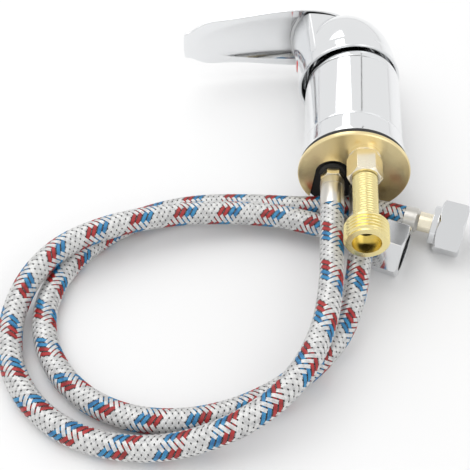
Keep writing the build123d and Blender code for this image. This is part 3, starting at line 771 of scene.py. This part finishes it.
    def ribbon(self, lay: Lay, number: int, offset: np.ndarray, lower: np.ndarray) -> Shell:
        """Lay lines along one carrier's way, over two crossing carriers and under two.

        Args:
            lay: Hand of the carrier's family.
            number: Place of the carrier in its family.
            offset: Place of each line across the carrier.
            lower: Depth of each line below the carrier's top.

        Returns:
            Points and faces of the ribbon.
        """
        hand = lay.value
        length = float(self.along[-1])
        rows = int(length / self.step) + 1
        middle = np.linspace(0.0, length, rows)[:, None]
        along = np.clip(middle - hand * math.sin(self.lean()) * offset, 0.0, length)
        base = hand * middle / self.pitch + number / self.carriers + self.mark_turn
        angle = 2 * math.pi * base + math.cos(self.lean()) * offset / self.radius
        crossing = (base + hand * middle / self.pitch - self.mark_turn) * self.carriers
        beat = np.cos(math.pi / 2 * (number + crossing) + math.pi / 4)
        rise = hand * np.clip(self.weave_hold * beat, -1.0, 1.0) * self.weave
        points = self.place(along, angle, self.radius - self.weave + rise - lower)
        faces = grid_faces(rows, len(offset), wrap_rows=False, wrap_columns=False)
        return points.reshape(-1, 3), faces

    def carrier(self, lay: Lay, number: int) -> Shell:
        """Lay the filaments of one carrier.

        Args:
            lay: Hand of the carrier's family.
            number: Place of the carrier in its family.

        Returns:
            Points and faces of the filaments.
        """
        space = self.carrier_room() * self.cover / self.filaments
        middles = (np.arange(self.filaments) - (self.filaments - 1) / 2) * space
        ridge = np.array([-0.5, 0.0, 0.5]) * space * self.filament_fill
        offset = (middles[:, None] + ridge).ravel()
        lower = np.tile([self.groove, 0.0, self.groove], self.filaments)
        points, faces = self.ribbon(lay, number, offset, lower)
        on_filament = np.arange(len(faces)) % (len(offset) - 1) % len(ridge) < len(ridge) - 1
        return points, faces[on_filament]

    def shade_ribbon(self, lay: Lay, number: int) -> Shell:
        """Lay the dark ribbon of painted shade that shows between and beside a coloured carrier's
        filaments.

        Args:
            lay: Hand of the carrier's family.
            number: Place of the carrier in its family.

        Returns:
            Points and faces of the ribbon.
        """
        half = self.carrier_room() * self.shade_ribbon_cover / 2
        lower = np.full(3, self.groove + self.shade_ribbon_drop)
        return self.ribbon(lay, number, np.array([-half, 0.0, half]), lower)

    def strands(self, name: str, finish: Finish, ribbons: list[Shell]) -> bpy.types.Object:
        """Join some ribbons into one piece of the braid.

        Args:
            name: Last part of the piece's name.
            finish: Finish of the piece.
            ribbons: Points and faces of each ribbon.

        Returns:
            The piece, which rides with the tap's base.
        """
        starts = np.cumsum([0, *(len(points) for points, _ in ribbons)])
        points = np.concatenate([some for some, _ in ribbons])
        faces = np.concatenate([few + start for (_, few), start in zip(ribbons, starts)])
        made = show(f"{self.side.value}_{name}", points, faces, finish, crease=180.0)
        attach(made, "base")
        return made

    def band(self) -> bpy.types.Object:
        """Close the crimped band over the braid's first stretch.

        Returns:
            The band, which rides with the tap's base.
        """
        length = self.band_length
        rows = np.array([0.0, 0.0, length - self.band_rise, length, length])
        lift = np.array([0.0, self.band_rise, self.band_rise, self.band_rise / 2, 0.0])
        angle = np.linspace(0.0, 2 * math.pi, self.band_turns, endpoint=False)
        along, turn = np.meshgrid(rows, angle, indexing="ij")
        radius = np.broadcast_to(self.radius + lift[:, None], along.shape)
        points = self.place(along, turn, radius)
        faces = grid_faces(len(rows), self.band_turns, wrap_rows=False, wrap_columns=True)
        made = show(f"{self.side.value}_crimp_band", points.reshape(-1, 3), faces, STAINLESS)
        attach(made, "base")
        return made

    def build(self, nodes: dict[str, bpy.types.Object]) -> list[bpy.types.Object]:
        """Args:
            nodes: CAD nodes by name; not used.

        Returns:
            The hose's pieces.
        """
        liner = self.curve()
        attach(liner, "base")
        every = range(self.carriers)
        right = [self.carrier(Lay.RIGHT_HAND, number) for number in every]
        left = [self.carrier(Lay.LEFT_HAND, number) for number in every]
        red_end, blue_end = self.marked, 2 * self.marked
        # Painted shade: dark ribbons under the red and blue carriers darken the gaps between their
        # filaments.
        dark = [self.shade_ribbon(Lay.LEFT_HAND, number) for number in range(blue_end)]
        braid = [
            self.strands("silver_lay", BRAID_SILVER, right),
            self.strands("silver_counter_lay", BRAID_SILVER, left[blue_end:]),
            self.strands("red_strand", BRAID_RED, left[:red_end]),
            self.strands("blue_strand", BRAID_BLUE, left[red_end:blue_end]),
            self.strands("braid_shade", LINER_AND_BRAID_SHADE, dark),
            self.band(),
        ]
        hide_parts(f"{self.side.value}_hose")
        return [liner, *braid]


def routed(places: list[Point]) -> list[Point]:
    """Place a hose's route, given in millimetres from the tap's axis, in the frame.

    Args:
        places: Route points, across and along from the tap's axis and up from the floor.

    Returns:
        The points in metres.
    """
    return [(TAP_AXIS[0] + x * MM, TAP_AXIS[1] + y * MM, z * MM) for x, y, z in places]


HOSES = (
    Hose(
        Side.LEFT,
        routed(
            [
                (-10.6, -21.9, 27.65),
                (-10.6, -46.7, 27.65),
                (-10.9, -81.1, 26.5),
                (-16.8, -107.1, 23.5),
                (-31.0, -129.7, 20.0),
                (-52.4, -143.5, 14.0),
                (-79.0, -150.5, 7.5),
                (-107.0, -149.5, 5.75),
                (-131.5, -139.5, 5.75),
                (-149.8, -119.5, 5.9),
                (-157.0, -96.5, 8.0),
                (-153.5, -72.5, 13.5),
                (-140.3, -52.5, 17.6),
                (-117.5, -38.3, 18.4),
                (-90.5, -26.5, 15.2),
                (-59.5, -19.8, 11.6),
                (-26.383, -21.988, 12.0),
                (-2.891, -30.539, 12.0),
            ]
        ),
        mark_turn=0.007,
        pitch=22.4 * MM,
    ),
    Hose(
        Side.RIGHT,
        routed(
            [
                (3.6, -21.9, 24.05),
                (3.6, -38.4, 24.05),
                (1.6, -67.0, 17.5),
                (-4.6, -89.3, 10.5),
                (-21.0, -109.4, 6.5),
                (-44.5, -127.1, 5.75),
                (-71.4, -136.4, 5.75),
                (-98.2, -136.0, 5.75),
                (-122.3, -124.6, 5.75),
                (-139.4, -102.2, 5.75),
                (-144.0, -75.6, 5.75),
                (-134.6, -48.4, 5.75),
                (-112.9, -25.6, 5.75),
                (-83.5, -12.2, 5.75),
                (-51.0, -9.2, 5.75),
                (-22.4, -11.4, 7.6),
                (3.572, -11.554, 12.0),
                (26.162, -18.031, 12.0),
            ]
        ),
        mark_turn=0.866,
        pitch=20.8 * MM,
    ),
)


@dataclass(frozen=True)
class SoftLight:
    """One soft light of the studio.

    Attributes:
        name: Name of the light.
        place: Where it hangs.
        size: Its two sides.
        power: Its power in watts.
    """

    name: str
    place: Point
    size: tuple[float, float]
    power: float

    def hang(self, aim: Point) -> None:
        """Hang the light.

        Args:
            aim: Point that it faces.
        """
        lamp = bpy.data.lights.new(self.name, "AREA")
        lamp.shape = "RECTANGLE"
        lamp.size, lamp.size_y = self.size
        lamp.energy = self.power
        hung = bpy.data.objects.new(self.name, lamp)
        hung.location = self.place
        hung.rotation_euler = (Vector(aim) - Vector(self.place)).to_track_quat("-Z", "Y").to_euler()
        bpy.context.scene.collection.objects.link(hung)


@dataclass
class Studio:
    """Pale floor, soft lights, a dark seam for the metal to mirror, and the camera.

    Attributes:
        target: Point on the floor at the middle of the picture.
        distance: Distance of the camera from that point.
        elevation: Height of the camera, in degrees.
        swing: Turn of the camera to the right, in degrees.
        focal: Focal length for the sensor's width, in millimetres.
        floor_half: Half the side of the floor.
        sky: Strength of the even light all round.
        light_aim: Point that the lights face.
        lamps: The soft lights.
        seam_place: Where the middle of the light tent's seam hangs.
        seam_aim: Point that the seam faces.
        seam_size: Width and height of the seam.
    """

    target: Point = (-24.587 * MM, -47.418 * MM, 0.0)
    distance: float = 495.0 * MM
    elevation: float = 50.0
    swing: float = 3.7
    focal: float = 75.06
    floor_half: float = 12.0
    sky: float = 0.88
    light_aim: Point = (0.0, -0.03, 0.02)
    lamps: tuple[SoftLight, ...] = (
        SoftLight("key", (-0.4, 0.1, 0.9), (0.7, 0.9), 2.9),
        SoftLight("band", (-0.25, 0.67, 0.78), (0.4, 0.6), 0.85),
        SoftLight("fill", (0.6, -0.7, 0.7), (0.5, 0.7), 0.9),
    )
    seam_place: Point = (0.2, 0.67, 0.8)
    seam_aim: Point = (TAP_AXIS[0], TAP_AXIS[1] + 0.03, 0.03)
    seam_size: tuple[float, float] = (0.02, 0.5)

    def sheet(self, wide: float, high: float) -> list[Vector]:
        """List the corners of a flat sheet round its own middle.

        Args:
            wide: Half its width.
            high: Half its height.

        Returns:
            The four corners.
        """
        signs = ((-1, -1), (1, -1), (1, 1), (-1, 1))
        return [Vector((across * wide, up * high, 0.0)) for across, up in signs]

    def floor(self) -> None:
        """Lay the floor under the tap."""
        points = np.array(self.sheet(self.floor_half, self.floor_half))
        show("floor", points, np.array([(0, 1, 2, 3)]), FLOOR_WHITE)

    def seam(self) -> None:
        """Hang the narrow dark seam of the light tent."""
        place = Vector(self.seam_place)
        turn = (Vector(self.seam_aim) - place).to_track_quat("Z", "Y")
        corners = self.sheet(self.seam_size[0] / 2, self.seam_size[1] / 2)
        points = np.array([place + turn @ painted_corner_shade for painted_corner_shade in corners])
        show("seam", points, np.array([(0, 1, 2, 3)]), CARD_BLACK)

    def lights(self) -> None:
        """Set the even sky and hang the soft lights."""
        world = bpy.data.worlds.new("studio_sky")
        world.use_nodes = True
        background = world.node_tree.nodes["Background"]
        background.inputs["Color"].default_value = (1.0, 1.0, 1.0, 1.0)
        background.inputs["Strength"].default_value = self.sky
        bpy.context.scene.world = world
        for lamp in self.lamps:
            lamp.hang(self.light_aim)

    def camera(self) -> None:
        """Stand the camera where the picture was taken from."""
        rise = math.radians(self.elevation)
        swing = math.radians(self.swing)
        level = math.cos(rise)
        back = Vector((level * math.sin(swing), -level * math.cos(swing), math.sin(rise)))
        lens = bpy.data.cameras.new("camera")
        lens.sensor_width = SENSOR_WIDTH
        lens.lens = self.focal
        stand = bpy.data.objects.new("camera", lens)
        stand.location = Vector(self.target) + self.distance * back
        stand.rotation_euler = back.to_track_quat("Z", "Y").to_euler()
        bpy.context.scene.collection.objects.link(stand)
        bpy.context.scene.camera = stand
        bpy.context.scene.view_settings.view_transform = "Standard"

    def build(self) -> None:
        """Set up the whole studio."""
        self.floor()
        self.seam()
        self.lights()
        self.camera()


def dress_nodes(nodes: dict[str, bpy.types.Object]) -> None:
    """Give each carried-over piece its finish.

    Args:
        nodes: CAD nodes by name.
    """
    for finish, names in NODE_FINISHES.items():
        for name in names:
            nodes[name].data.materials.clear()
            nodes[name].data.materials.append(finish.material())


def main() -> None:
    """Build the tap's looks in the CAD frame."""
    logging.basicConfig(level=logging.INFO)
    frame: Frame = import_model()
    nodes = frame["nodes"]
    dress_nodes(nodes)
    LOG.info("dressed %d carried-over pieces", len(nodes))
    LOG.info("built %s", Shank().build().name)
    LOG.info("built %s", SkirtShadeSheet().build().name)
    LOG.info("built %s", HandleCrown().build().name)
    for hose in HOSES:
        for piece in hose.build(nodes):
            LOG.info("built %s", piece.name)
    Studio().build()


if __name__ == "__main__":
    main()
